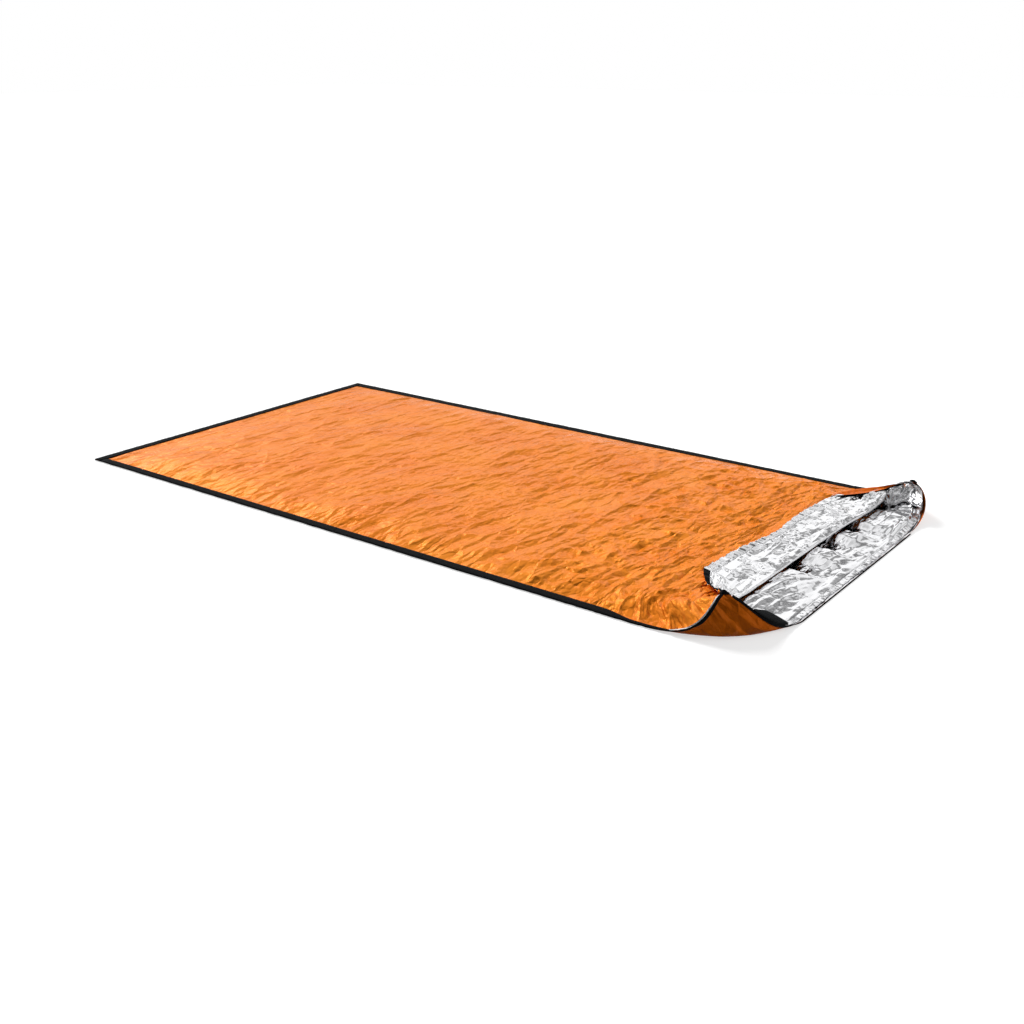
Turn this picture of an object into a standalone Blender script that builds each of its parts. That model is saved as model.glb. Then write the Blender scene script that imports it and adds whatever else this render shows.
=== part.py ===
"""One-person survival bag, laid flat on the ground with its mouth turned down.

Two rectangles of film, orange outside and silver inside, are bound together with black tape
along the foot and both long sides. The head end is open. The top sheet's last stretch is turned
down over the bag and hinges about its crease. Both mouth corners of the bottom sheet curl up.

Frame: metres, +X from the foot to the mouth, +Y to the far side, +Z up. The origin is on the
ground, under the middle of the bag. The films are drawn thicker than the real ones, so that
every sheet is a solid of its own with a gap to the next one.
"""
import math

import bmesh
import bpy
import numpy as np

# Driving dimensions
LENGTH = 2.11
WIDTH = 1.10
TAPE_WIDTH = 0.026
FLAP_LENGTH = 0.127
FLAP_NEAR_Y = (-0.330, -0.275)
FLAP_FAR_Y = (0.340, 0.310)
CREASE_X = 0.922
LOFT_MIDDLE = 0.012
LOFT_MOUTH = 0.022

# Thickness of each layer, the gap that keeps neighbours apart, and the room in a tape's fold
GAP = 0.0003
FOLD_ROOM = 0.0008
UPPER_LEG = 0.93
OUTER_T = 0.0007
LINING_T = 0.0004
TAPE_T = 0.0006

# Heights of the layers in the seam, measured from the underside of the bottom sheet
BOTTOM_OUTER = (0.0, OUTER_T)
BOTTOM_LINING = (OUTER_T + GAP, OUTER_T + GAP + LINING_T)
TOP_BASE = BOTTOM_LINING[1] + 0.0005
TOP_LINING = (0.0, LINING_T)
TOP_OUTER = (LINING_T + GAP, LINING_T + GAP + OUTER_T)
SEAM_TOP = TOP_BASE + TOP_OUTER[1]
TAPE_LOW = (-GAP - TAPE_T, -GAP)
TAPE_HIGH = (SEAM_TOP + GAP, SEAM_TOP + GAP + TAPE_T)
TAPE_LIFT = GAP + TAPE_T
LIFT_END = 0.055

# Lines of the bottom sheet's grid where it lies flat
FLAT_LINES_X = [-0.90, -0.60, -0.20, 0.20, 0.45, 0.58]
FLAT_LINES_Y = [-0.15, 0.05, 0.21]

# Hem along the head edge of the bottom sheet
HEM_LOW = BOTTOM_LINING[1] + GAP
HEM_HEIGHT = 0.0034
HEM_WALL = 0.0005
ELASTIC_HEIGHT = 0.0008
HEAD_ELASTIC_Y = (-0.37, 0.30)
HEAD_TAPE_END_Y = 0.26

# Turned-down flap
FOLD_RADIUS = 0.0040
FLAP_CLEARANCE = 0.0040
HEM_TUBE_WIDTH = 0.010
HEM_TUBE_HEIGHT = 0.0036
FLAP_ELASTIC = (0.006, 0.0012)
TAPE_END_INSET = 0.004
TAPE_END_WIDTH = 0.022

# Gathered hems beside the flap: radius, its growth at every second fold, and how far ahead of
# the sheet's end they lie, in radii
GATHER_RADIUS = 0.0032
GATHER_GROWTH = 0.35
GATHER_AHEAD = 1.35

# Folded ends of the side tapes: length, width and height
NEAR_TAPE_END = (0.022, 0.010, 0.006)
FAR_TAPE_END = (0.020, 0.009, 0.005)

FOOT_X = -LENGTH / 2
HEAD_X = LENGTH / 2
SIDE_Y = WIDTH / 2
SHEET_END_X = CREASE_X - FOLD_RADIUS - 0.0005
HEM_X = CREASE_X - FLAP_LENGTH
CURL_START_X = 0.66
TAPE_JOIN_X = 0.77

# Where the top sheet's side seams end, and how it is lofted between them
NEAR_SEAM_END_X = 0.82
FAR_SEAM_END_X = 0.82
FAR_FREE_Y = 0.43
FAR_BAND = 0.125
NEAR_BAND = (0.11, 0.10)
NEAR_STEP = (-0.003, 0.020)
NEAR_CLIMB = 0.25
FAR_STEP = 0.022
FOOT_RISE = 0.15
LOFT_START_X = 0.20
LAP_HEIGHT = 0.006
NEAR_EXIT = [(1.25, TOP_BASE), (1.20, LAP_HEIGHT), (0.50, LAP_HEIGHT), (0.12, LAP_HEIGHT)]


class Curl:
    """A mouth corner that rolls up and in beyond a curved fold line on the ground.

    The fold line is a quadratic curve through three control points. A point of the sheet that
    lies w beyond it turns through w / roll, on an ellipse of half axes out and up, and leans
    by the lean vector as it rises.
    """

    def __init__(self, points, side, roll, out, up, lean, limit):
        self.points = np.array(points, float)
        self.side = side
        self.roll = roll
        self.out = out
        self.up = up
        self.lean = np.array(lean, float)
        self.limit = limit

    def place(self, t):
        a, b, c = self.points
        return (1 - t) ** 2 * a + 2 * t * (1 - t) * b + t * t * c

    def slope(self, t):
        a, b, c = self.points
        return 2 * (1 - t) * (b - a) + 2 * t * (c - b)

    def nearest(self, q):
        samples = np.linspace(0, 1, 81)
        away = [np.sum((self.place(t) - q) ** 2) for t in samples]
        t = samples[int(np.argmin(away))]
        bend = 2 * (self.points[0] - 2 * self.points[1] + self.points[2])
        for _ in range(4):
            off = self.place(t) - q
            d = self.slope(t)
            t = min(1.0, max(0.0, t - off @ d / max(d @ d + off @ bend, 1e-9)))
        return t

    def surface(self, u, v):
        """The place of a point of the flat sheet, or None where the sheet stays flat."""
        q = np.array([u, v])
        t = self.nearest(q)
        if t <= 0.0 or t >= 1.0:
            return None
        d = self.slope(t)
        d = d / np.linalg.norm(d)
        n = np.array([d[1], -d[0]]) * self.side
        w = (q - self.place(t)) @ n
        if w <= 0:
            return None
        turn = self.limit * math.tanh(w / self.roll / self.limit)
        rise = 1 - math.cos(turn)
        flat = q - w * n + n * self.out * math.sin(turn) + self.lean * rise / 2
        return [flat[0], flat[1], self.up * rise]


NEAR_CURL = Curl([(0.728, -0.55), (1.0045, -0.558), (1.0565, -0.319)], 1,
                 roll=0.0323, out=0.0218, up=0.0387, lean=(-0.0402, 0.0149), limit=16.0)
FAR_CURL = Curl([(0.66, 0.55), (1.03, 0.588), (1.056, 0.24)], -1,
                roll=0.030, out=0.030, up=0.037, lean=(0.012, 0.012), limit=3.6)


def smooth(x):
    x = min(1.0, max(0.0, x))
    return x * x * (3 - 2 * x)


def mix(a, b, t):
    return a + (b - a) * t


def steps(start, end, count):
    """Places after start, up to and with end."""
    return [start + (end - start) * (i + 1) / count for i in range(count)]


def grid_lines():
    """Lines of the bottom sheet: along the bag, and across it."""
    tape = TAPE_WIDTH
    along = [FOOT_X, FOOT_X + tape, FOOT_X + LIFT_END] + FLAT_LINES_X + [CURL_START_X]
    along += steps(CURL_START_X, HEAD_X - tape, 12)
    along += [HEAD_X]
    across = [-SIDE_Y, -SIDE_Y + tape]
    across += steps(-SIDE_Y + tape, -0.33, 7)
    across += FLAT_LINES_Y
    across += steps(FLAT_LINES_Y[-1], SIDE_Y - tape, 11)
    across += [SIDE_Y]
    return np.array(along), np.array(across)


def lift(u, v):
    """The sheet rises where the tape runs under its edge."""
    edge = min(u - FOOT_X, HEAD_X - u, v + SIDE_Y, SIDE_Y - v)
    return TAPE_LIFT * (1 - smooth((edge - TAPE_WIDTH) / (LIFT_END - TAPE_WIDTH)))


def normals_of(points):
    """Upward normals at the points of a grid."""
    du = np.gradient(points, axis=0)
    dv = np.gradient(points, axis=1)
    n = np.cross(du, dv)
    return n / np.linalg.norm(n, axis=2)[:, :, None]


def bottom_grid():
    along, across = grid_lines()
    points = np.zeros((len(along), len(across), 3))
    for i, u in enumerate(along):
        for j, v in enumerate(across):
            curl = NEAR_CURL if v < 0 else FAR_CURL
            points[i, j] = curl.surface(u, v) or [u, v, 0.0]
    normals = normals_of(points)
    for i, u in enumerate(along):
        for j, v in enumerate(across):
            points[i, j] += normals[i, j] * lift(u, v)
    return along, across, points, normals


def loft(x):
    """Height of the top lining over the ground along the middle of the bag."""
    return mix(LOFT_MIDDLE, LOFT_MOUTH, smooth((x - LOFT_START_X) / (SHEET_END_X - LOFT_START_X)))


def near_edge(step, edge, inner, edge_normal, inner_normal):
    """Near edge of the top sheet past its seam: it leaves the tape, laps over it and climbs."""
    share, height = NEAR_EXIT[min(step, len(NEAR_EXIT)) - 1]
    return mix(edge, inner, share) + mix(edge_normal, inner_normal, share) * height


def far_edge(share, start):
    """Far edge of the top sheet past its seam: it draws in towards the end of the crease."""
    return np.array([mix(start[0], SHEET_END_X, share),
                     mix(start[1], FAR_FREE_Y, share ** 0.6),
                     mix(start[2], LOFT_MOUTH, share ** 3)])


def top_grid(along, bottom, bottom_normals):
    """The top sheet: the seam rows follow the bottom sheet, and the rest is lofted."""
    near_in = [0.020, 0.045, 0.075, 0.110, 0.160]
    middle = [0.40, 0.55, 0.70]
    far_in = [0.220, 0.140, 0.090, 0.050, 0.022]
    seam = bottom + bottom_normals * TOP_BASE
    near_end = int(np.searchsorted(along, NEAR_SEAM_END_X)) - 1
    far_end = int(np.searchsorted(along, FAR_SEAM_END_X)) - 1
    last = len(along) - 1
    rows = []
    for i, u in enumerate(along):
        curled = max(0.0, (u - CURL_START_X) / (HEAD_X - CURL_START_X))
        x_mid = mix(CURL_START_X, SHEET_END_X, curled) if curled else u
        height = TAPE_LIFT + TOP_BASE
        if i > 1:
            height = mix(height, loft(x_mid), smooth((u - FOOT_X - TAPE_WIDTH) / FOOT_RISE))
        start, a, b, end = seam[i, 0], seam[i, 1], seam[i, -2], seam[i, -1]
        if i > near_end:
            start = near_edge(i - near_end, bottom[i, 0], bottom[i, 1],
                              bottom_normals[i, 0], bottom_normals[i, 1])
            climb = 0.0 if i == near_end + 1 else NEAR_CLIMB
            a = start + np.array([*NEAR_STEP, (height - start[2]) * climb])
        if i > far_end:
            share = (i - far_end) / (last - far_end)
            end = far_edge(share, seam[far_end, -1])
            b = end - np.array([0.0, FAR_STEP, 0.0])
        near_band = mix(*NEAR_BAND, smooth(curled))
        width = b[1] - a[1]
        inner = near_in + [width * m for m in middle] + [width - d for d in far_in]
        row = [start, a]
        for d in inner:
            at_near = 1 - smooth(d / near_band)
            at_far = 1 - smooth((width - d) / FAR_BAND)
            x = x_mid + (a[0] - x_mid) * at_near + (b[0] - x_mid) * at_far
            z = height + (a[2] - height) * at_near + (b[2] - height) * at_far
            row.append(np.array([x, a[1] + d, z]))
        rows.append(row + [b, end])
    points = np.array(rows)
    normals = normals_of(points)
    for j in (0, 1):
        normals[:near_end + 1, j] = bottom_normals[:near_end + 1, j]
    for j in (-2, -1):
        normals[:far_end + 1, j] = bottom_normals[:far_end + 1, j]
    return points, normals


def material(name, colour, roughness, metallic=0.0):
    m = bpy.data.materials.get(name)
    if m:
        return m
    m = bpy.data.materials.new(name)
    m.use_nodes = True
    shader = m.node_tree.nodes["Principled BSDF"]
    shader.inputs["Base Color"].default_value = (*colour, 1.0)
    shader.inputs["Roughness"].default_value = roughness
    shader.inputs["Metallic"].default_value = metallic
    return m


def orange_film():
    return material("orange_film", (0.88, 0.26, 0.05), 0.45)


def silver_film():
    return material("silver_film", (0.86, 0.86, 0.87), 0.28, 1.0)


def black_tape():
    return material("black_tape", (0.012, 0.013, 0.015), 0.75)


def black_elastic():
    return material("black_elastic", (0.02, 0.02, 0.02), 0.6)


def solid(name, points, faces, finish, pivot=None):
    """One closed object from points and faces, with its origin on the pivot if it moves."""
    mesh = bpy.data.meshes.new(name)
    b = bmesh.new()
    shift = np.array(pivot if pivot is not None else (0.0, 0.0, 0.0))
    verts = [b.verts.new(tuple(np.array(p) - shift)) for p in points]
    for face in faces:
        b.faces.new([verts[k] for k in face])
    bmesh.ops.recalc_face_normals(b, faces=b.faces)
    if b.calc_volume(signed=True) < 0:
        bmesh.ops.reverse_faces(b, faces=b.faces)
    b.to_mesh(mesh)
    b.free()
    mesh.materials.append(finish)
    obj = bpy.data.objects.new(name, mesh)
    obj.location = tuple(shift)
    bpy.context.scene.collection.objects.link(obj)
    return obj


def split(a, b, c, d):
    """Two triangles that share the diagonal from a to c."""
    return [(a, b, c), (a, c, d)]


def sheet(name, low, high, finish, pivot=None):
    """A closed sheet between two grids of points."""
    rows, columns = low.shape[:2]
    points = np.concatenate([low.reshape(-1, 3), high.reshape(-1, 3)])
    top = rows * columns

    def at(i, j, layer):
        return layer * top + i * columns + j

    faces = []
    for i in range(rows - 1):
        for j in range(columns - 1):
            for layer in (0, 1):
                faces += split(at(i, j, layer), at(i + 1, j, layer),
                               at(i + 1, j + 1, layer), at(i, j + 1, layer))
    for i in range(rows - 1):
        for j in (0, columns - 1):
            faces += split(at(i, j, 0), at(i + 1, j, 0), at(i + 1, j, 1), at(i, j, 1))
    for j in range(columns - 1):
        for i in (0, rows - 1):
            faces += split(at(i, j, 0), at(i, j + 1, 0), at(i, j + 1, 1), at(i, j, 1))
    return solid(name, points, faces, finish, pivot)


def sweep(name, loops, caps, finish, back=(), pivot=None):
    """A closed bar through loops of points, with its ends closed by the faces in caps.

    The sides numbered in back take their diagonal the other way, so that a face that runs
    along a sheet is creased just as the sheet is.
    """
    count, size = len(loops), len(loops[0])
    points = [p for loop in loops for p in loop]
    faces = []
    for i in range(count - 1):
        for k in range(size):
            n = (k + 1) % size
            a, b = i * size + k, i * size + n
            c, d = (i + 1) * size + n, (i + 1) * size + k
            faces += split(b, a, d, c) if k in back else split(a, b, c, d)
    for cap in caps:
        faces.append(tuple(cap))
        faces.append(tuple((count - 1) * size + k for k in cap))
    return solid(name, points, faces, finish, pivot)


def ring_sweep(name, outer, inner, finish, back=(), pivot=None):
    """A closed tube with open ends: outer and inner loops at each station."""
    count, size = len(outer), len(outer[0])
    loops = [list(outer[i]) + list(inner[i]) for i in range(count)]
    points = [p for loop in loops for p in loop]
    faces = []
    for i in range(count - 1):
        for k in range(size):
            n = (k + 1) % size
            for shift in (0, size):
                base, nxt = i * 2 * size + shift, (i + 1) * 2 * size + shift
                a, b, c, d = base + k, base + n, nxt + n, nxt + k
                faces += split(b, a, d, c) if k in back else split(a, b, c, d)
    for i in (0, count - 1):
        for k in range(size):
            n = (k + 1) % size
            base = i * 2 * size
            faces.append((base + k, base + n, base + size + n, base + size + k))
    return solid(name, points, faces, finish, pivot)


def outward(edge, inner, far):
    """A point that lies far beyond a sheet's edge, in line with the sheet."""
    d = edge - inner
    return edge + d / np.linalg.norm(d) * far


def side_tape(name, points, normals, edge, inner, rows, back):
    """Tape folded round a stretch of side seam, over the whole stack of films."""
    loops = []
    for i in rows:
        e, w = points[i, edge], points[i, inner]
        ne, nw = normals[i, edge], normals[i, inner]
        out, near = outward(e, w, FOLD_ROOM + TAPE_T), outward(e, w, FOLD_ROOM)
        short, ns = mix(e, w, UPPER_LEG), mix(ne, nw, UPPER_LEG)
        loops.append([w + nw * TAPE_LOW[0], out + ne * TAPE_LOW[0], out + ne * TAPE_HIGH[1],
                      short + ns * TAPE_HIGH[1], short + ns * TAPE_HIGH[0],
                      near + ne * TAPE_HIGH[0], near + ne * TAPE_LOW[1], w + nw * TAPE_LOW[1]])
    start = GAP * 2
    loops[0] = [p + np.array([start, 0, 0]) for p in loops[0]]
    caps = [(0, 1, 6, 7), (1, 2, 5, 6), (2, 3, 4, 5)]
    return sweep(name, loops, caps, black_tape(), back)


def foot_tape():
    """Tape folded round the foot edge, from one long side to the other."""
    far = FOOT_X - FOLD_ROOM - TAPE_T
    near = FOOT_X - FOLD_ROOM
    end = FOOT_X + TAPE_WIDTH
    low, high = [z + TAPE_LIFT for z in TAPE_LOW], [z + TAPE_LIFT for z in TAPE_HIGH]
    section = [(end, low[0]), (far, low[0]), (far, high[1]), (end, high[1]),
               (end, high[0]), (near, high[0]), (near, low[1]), (end, low[1])]
    reach = SIDE_Y + FOLD_ROOM + TAPE_T
    loops = [[np.array([x, y, z]) for x, z in section] for y in (-reach, reach)]
    caps = [(0, 1, 6, 7), (1, 2, 5, 6), (2, 3, 4, 5)]
    return sweep("foot_binding", loops, caps, black_tape())


def head_rows(across):
    """Rows of the grid along the head edge that lie between the two side tapes."""
    return range(2, len(across) - 2)


def head_tape(points, normals, across):
    """Tape under the head edge, turned up over it, as far as the far corner's roll."""
    loops = []
    for j in head_rows(across):
        if across[j] > HEAD_TAPE_END_Y:
            break
        e, w = points[-1, j], points[-2, j]
        ne, nw = normals[-1, j], normals[-2, j]
        out, near = outward(e, w, FOLD_ROOM + TAPE_T), outward(e, w, FOLD_ROOM)
        rim = BOTTOM_LINING[1] + GAP
        loops.append([w + nw * TAPE_LOW[0], out + ne * TAPE_LOW[0], out + ne * rim,
                      near + ne * rim, near + ne * TAPE_LOW[1], w + nw * TAPE_LOW[1]])
    caps = [(0, 1, 4, 5), (1, 2, 3, 4)]
    return sweep("head_edge_binding", loops, caps, black_tape(), back=(4,))


def head_hem(points, normals, across):
    """Gathered casing along the head edge, and the elastic that runs through it."""
    outer, inner, elastic = [], [], []
    for j in head_rows(across):
        e, w = points[-1, j], points[-2, j]
        ne, nw = normals[-1, j], normals[-2, j]

        def at(share, height):
            return mix(e, w, share) + mix(ne, nw, share) * height

        low, high = HEM_LOW, HEM_LOW + HEM_HEIGHT
        outer.append([at(0.0, low), at(0.0, high), at(1.0, high), at(1.0, low)])
        low, high = low + HEM_WALL, high - HEM_WALL
        inner.append([at(0.06, low), at(0.06, high), at(0.94, high), at(0.94, low)])
        middle = (low + high) / 2
        low, high = middle - ELASTIC_HEIGHT / 2, middle + ELASTIC_HEIGHT / 2
        if HEAD_ELASTIC_Y[0] < across[j] < HEAD_ELASTIC_Y[1]:
            elastic.append([at(0.3, low), at(0.3, high), at(0.7, high), at(0.7, low)])
    ring_sweep("head_hem_casing", outer, inner, silver_film(), back=(1,))
    sweep("head_hem_elastic", elastic, [(0, 1, 2, 3)], black_elastic(), back=(1,))


def gathered_end(name, edge, finish):
    """The gathered bundle of hem along a stretch of the mouth that isn't turned down."""
    sides = 8
    loops = []
    for k, p in enumerate(edge):
        r = GATHER_RADIUS * (1.0 + GATHER_GROWTH * (k % 2))
        centre = p + np.array([GATHER_RADIUS * GATHER_AHEAD + 2 * GAP, 0.0, 0.0])
        loop = []
        for s in range(sides):
            a = 2 * math.pi * s / sides
            loop.append(centre + np.array([r * math.cos(a), 0.0, r * math.sin(a)]))
        loops.append(loop)
    return sweep(name, loops, [tuple(range(sides))], finish)


def flap_height(x):
    """Underside of the flap's lining while the flap lies on the top sheet."""
    return loft(min(x, SHEET_END_X)) + TOP_OUTER[1] + FLAP_CLEARANCE


def flap_edge(x):
    """The flap's two ends narrow towards the hem."""
    share = (CREASE_X - x) / FLAP_LENGTH
    return mix(*FLAP_NEAR_Y, share), mix(*FLAP_FAR_Y, share)


def flap(pivot):
    """The turned-down flap: lining on top, outer film below, hem and elastic at its edge."""
    start = HEM_X + HEM_TUBE_WIDTH + GAP
    xs = [start] + steps(start, CREASE_X, 5)
    shares = [0.0] + steps(0.0, 1.0, 6)

    def row(x, z):
        a, b = flap_edge(min(x, CREASE_X))
        return [np.array([x, mix(a, b, s), z]) for s in shares]

    low = [row(x, flap_height(x)) for x in xs]
    high = [row(x, flap_height(x) + LINING_T) for x in xs]
    fold = 7
    for k in range(1, fold + 1):
        a = math.radians(90 - 150 * k / fold)
        for rows, r in ((low, FOLD_RADIUS - LINING_T), (high, FOLD_RADIUS)):
            rows.append(row(pivot[0] + r * math.cos(a), pivot[2] + r * math.sin(a)))
    sheet("flap_lining", np.array(low), np.array(high), silver_film(), pivot)

    under = [x for x in xs[:-1]] + [CREASE_X - 0.0035]
    low = np.array([row(x, flap_height(x) - GAP - OUTER_T) for x in under])
    high = np.array([row(x, flap_height(x) - GAP) for x in under])
    sheet("flap_outer_film", low, high, orange_film(), pivot)

    a, b = flap_edge(HEM_X)
    middle = HEM_X + HEM_TUBE_WIDTH / 2
    z = flap_height(middle)
    outer, inner, elastic = [], [], []
    for s in [0.0] + steps(0.0, 1.0, 12):
        y = mix(a, b, s)

        def box(width, height):
            half, up = width / 2, height / 2
            return [np.array([middle + sx * half, y, z + sz * up])
                    for sx, sz in ((-1, -1), (-1, 1), (1, 1), (1, -1))]

        outer.append(box(HEM_TUBE_WIDTH, HEM_TUBE_HEIGHT))
        inner.append(box(HEM_TUBE_WIDTH - 2 * HEM_WALL, HEM_TUBE_HEIGHT - 2 * HEM_WALL))
        elastic.append(box(*FLAP_ELASTIC))
    ring_sweep("flap_hem_casing", outer, inner, silver_film(), pivot=pivot)
    sweep("flap_hem_elastic", elastic, [(0, 1, 2, 3)], black_elastic(), pivot=pivot)

    x0, x1 = xs[1], xs[2]
    y0 = flap_edge(x0)[0] + TAPE_END_INSET
    low = np.array([[[x, y, flap_height(x) + LINING_T + GAP] for y in (y0, y0 + TAPE_END_WIDTH)]
                    for x in (x0, x1)])
    high = low + np.array([0.0, 0.0, TAPE_T])
    sheet("flap_near_tape_end", low, high, black_tape(), pivot)


def corner_tape_end(name, rim, size):
    """The folded end of a side tape, standing on the rim of a mouth corner."""
    length, width, height = size
    loops = []
    for share, narrow in ((-0.5, 0.6), (-0.25, 1.0), (0.25, 1.0), (0.5, 0.6)):
        w, h = width / 2 * narrow, height * narrow
        x = rim[0] + share * length
        loops.append([np.array([x, rim[1] - w, rim[2]]), np.array([x, rim[1] - w, rim[2] + h]),
                      np.array([x, rim[1] + w, rim[2] + h]), np.array([x, rim[1] + w, rim[2]])])
    return sweep(name, loops, [(0, 1, 2, 3)], black_tape())


def highest(obj):
    """The highest point of an object, a little above its surface."""
    top = max((obj.matrix_world @ v.co for v in obj.data.vertices), key=lambda p: p.z)
    return np.array(top) + np.array([0.0, 0.0, 2 * GAP])


def build():
    for obj in list(bpy.data.objects):
        bpy.data.objects.remove(obj, do_unlink=True)

    along, across, points, normals = bottom_grid()
    for name, (low, high), finish in (("bottom_outer_film", BOTTOM_OUTER, orange_film()),
                                      ("bottom_lining", BOTTOM_LINING, silver_film())):
        sheet(name, points + normals * low, points + normals * high, finish)

    top, top_normals = top_grid(along, points, normals)
    for name, (low, high), finish in (("top_lining", TOP_LINING, silver_film()),
                                      ("top_outer_film", TOP_OUTER, orange_film())):
        sheet(name, top + top_normals * low, top + top_normals * high, finish)

    foot_tape()
    corner = int(np.searchsorted(along, TAPE_JOIN_X))
    side, rolled = range(1, corner + 1), range(corner, len(along))
    side_tape("near_side_binding", points, normals, 0, 1, side, back=(0, 4))
    side_tape("far_side_binding", points, normals, -1, -2, side, back=(2, 6))
    near = side_tape("near_corner_binding", points, normals, 0, 1, rolled, back=(0, 4))
    far = side_tape("far_corner_binding", points, normals, -1, -2, rolled, back=(2, 6))
    head_tape(points, normals, across)
    head_hem(points, normals, across)

    edge = [p for p in top[-1] if p[1] < FLAP_NEAR_Y[0] - 0.002]
    gathered_end("near_gathered_hem", edge[1:], silver_film())
    edge = [p for p in top[-1] if p[1] > FLAP_FAR_Y[0] + 0.002]
    gathered_end("far_gathered_hem", edge, silver_film())

    corner_tape_end("near_corner_tape_end", highest(near), NEAR_TAPE_END)
    corner_tape_end("far_corner_tape_end", highest(far), FAR_TAPE_END)

    flap((CREASE_X, 0.0, flap_height(CREASE_X) + LINING_T - FOLD_RADIUS))


build()
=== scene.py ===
"""Looks of a one-person survival bag: orange and silver film bound in black tape, lying flat.

Metres, +X from the foot to the open mouth, +Y to the far side, +Z up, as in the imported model.
Every film is a dense sheet over the same rolled corners as the solids, with its creases in the
mesh and its finest wrinkles in the material.
"""
import math

import bpy
import numpy as np
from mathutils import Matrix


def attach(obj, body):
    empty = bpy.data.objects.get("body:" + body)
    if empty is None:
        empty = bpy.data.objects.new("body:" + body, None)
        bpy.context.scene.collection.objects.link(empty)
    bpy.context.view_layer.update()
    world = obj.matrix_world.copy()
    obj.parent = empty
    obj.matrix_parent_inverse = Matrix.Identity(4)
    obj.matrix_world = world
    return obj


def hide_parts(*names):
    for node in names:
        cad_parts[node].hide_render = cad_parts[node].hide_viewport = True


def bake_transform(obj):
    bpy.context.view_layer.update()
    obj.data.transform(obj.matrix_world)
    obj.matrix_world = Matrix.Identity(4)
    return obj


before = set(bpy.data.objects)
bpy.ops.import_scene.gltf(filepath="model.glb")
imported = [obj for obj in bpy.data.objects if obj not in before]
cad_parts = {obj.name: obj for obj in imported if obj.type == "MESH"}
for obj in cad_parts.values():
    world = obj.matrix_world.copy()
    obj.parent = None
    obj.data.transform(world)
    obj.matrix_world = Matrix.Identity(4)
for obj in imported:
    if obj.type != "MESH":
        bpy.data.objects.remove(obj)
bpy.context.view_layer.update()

# Sizes that the solids share, in metres
LENGTH, TOP_LENGTH, WIDTH = 2.11, 1.977, 1.10
FOOT_X, HEAD_X, SIDE_Y = -LENGTH / 2, LENGTH / 2, WIDTH / 2
TAPE_WIDTH, TAPE_LIFT = 0.026, 0.0009
CREASE_X, CREASE_Z, FOLD_RADIUS = 0.922, 0.0238, 0.0040
SHEET_END_X, CURL_START_X = 0.9175, 0.66
LOFT_START_X, LOFT_MIDDLE, LOFT_MOUTH = 0.20, 0.012, 0.022

# Heights of the layers above the underside of the bottom film
BOTTOM_LINING = 0.0005
TOP_FILM = 0.0015
TAPE_UNDER = (-0.0009, -0.0003)
TAPE_OVER = (0.0019, 0.0026)


def smooth(x, start=0.0, width=1.0):
    """A soft step, from 0 at start to 1 one width further on."""
    x = np.clip((x - start) / width, 0.0, 1.0)
    return x * x * (3 - 2 * x)


def mix(a, b, t):
    """The value at a share t of the way from a to b."""
    return a + (b - a) * t


def unit(v):
    """Directions of length one."""
    return v / np.maximum(np.linalg.norm(v, axis=-1, keepdims=True), 1e-9)


def read_off(x, places, rows):
    """Values at x between rows of numbers, where each row stands at one of the places."""
    return np.stack([np.interp(x, places, rows[:, k]) for k in range(rows.shape[1])], -1)


def grid(along, across):
    """A grid of flat places from its lines along and across."""
    return np.stack(np.meshgrid(along, across, indexing="ij"), -1)


def row_at(lines, place):
    """The number of the first line at a place or beyond it."""
    return int(np.searchsorted(lines, place))


# Wrinkle patterns

def lattice(i, j, seed):
    """A repeatable height from -1 to 1 for each point of a lattice."""
    n = (i * 374761393 + j * 668265263 + seed * 144269504) & 0xffffffff
    n = ((n ^ (n >> 13)) * 1274126177) & 0xffffffff
    return ((n ^ (n >> 16)) & 0xffff) / 32767.5 - 1.0


def jagged(x, seed):
    """A zigzag line from -1 to 1."""
    i = np.floor(x).astype(np.int64)
    return mix(lattice(i, i * 0, seed), lattice(i + 1, i * 0, seed), x - i)


def swell(x, y, seed):
    """Soft rises and hollows, from -1 to 1."""
    i, j = np.floor(x).astype(np.int64), np.floor(y).astype(np.int64)
    fx, fy = smooth(x - i), smooth(y - j)
    low = mix(lattice(i, j, seed), lattice(i + 1, j, seed), fx)
    high = mix(lattice(i, j + 1, seed), lattice(i + 1, j + 1, seed), fx)
    return mix(low, high, fy)


def creases(along, across, ahead, aside, *sets):
    """Heights of sets of random sharp folds on a grid of flat places.

    The folds lie within the ranges ahead and aside. A set is its seed and count, the ranges of
    length, width and depth in metres, the turn in degrees from the bag's length, and its scatter.
    """
    total = 0.0
    for seed, count, length, width, depth, turn, spread in sets:
        dice = np.random.default_rng(seed)
        height = np.zeros((len(along), len(across)))
        for _ in range(count):
            u, v = dice.uniform(*ahead), dice.uniform(*aside)
            angle = math.radians(turn + dice.normal() * spread)
            half, wide = dice.uniform(*length) / 2, dice.uniform(*width)
            rise, bow = dice.uniform(*depth) * dice.choice((-1, 1)), dice.uniform(-0.4, 0.4)
            c, s = math.cos(angle), math.sin(angle)
            reach = abs(c) * half + abs(s) * (3 * wide + 0.4 * half)
            i = slice(*np.searchsorted(along, (u - reach, u + reach)))
            reach = abs(s) * half + abs(c) * (3 * wide + 0.4 * half)
            j = slice(*np.searchsorted(across, (v - reach, v + reach)))
            du, dv = along[i, None] - u, across[None, j] - v
            run = (du * c + dv * s) / half
            off = (dv * c - du * s + bow * half * run * run) / wide
            fade = np.clip(1 - run * run, 0, 1) ** 1.5
            height[i, j] += rise * fade * np.exp(-np.abs(off) * np.where(off > 0, 1.0, 2.6))
        total = total + height
    return total


# The bottom sheet with its two rolled corners

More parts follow.
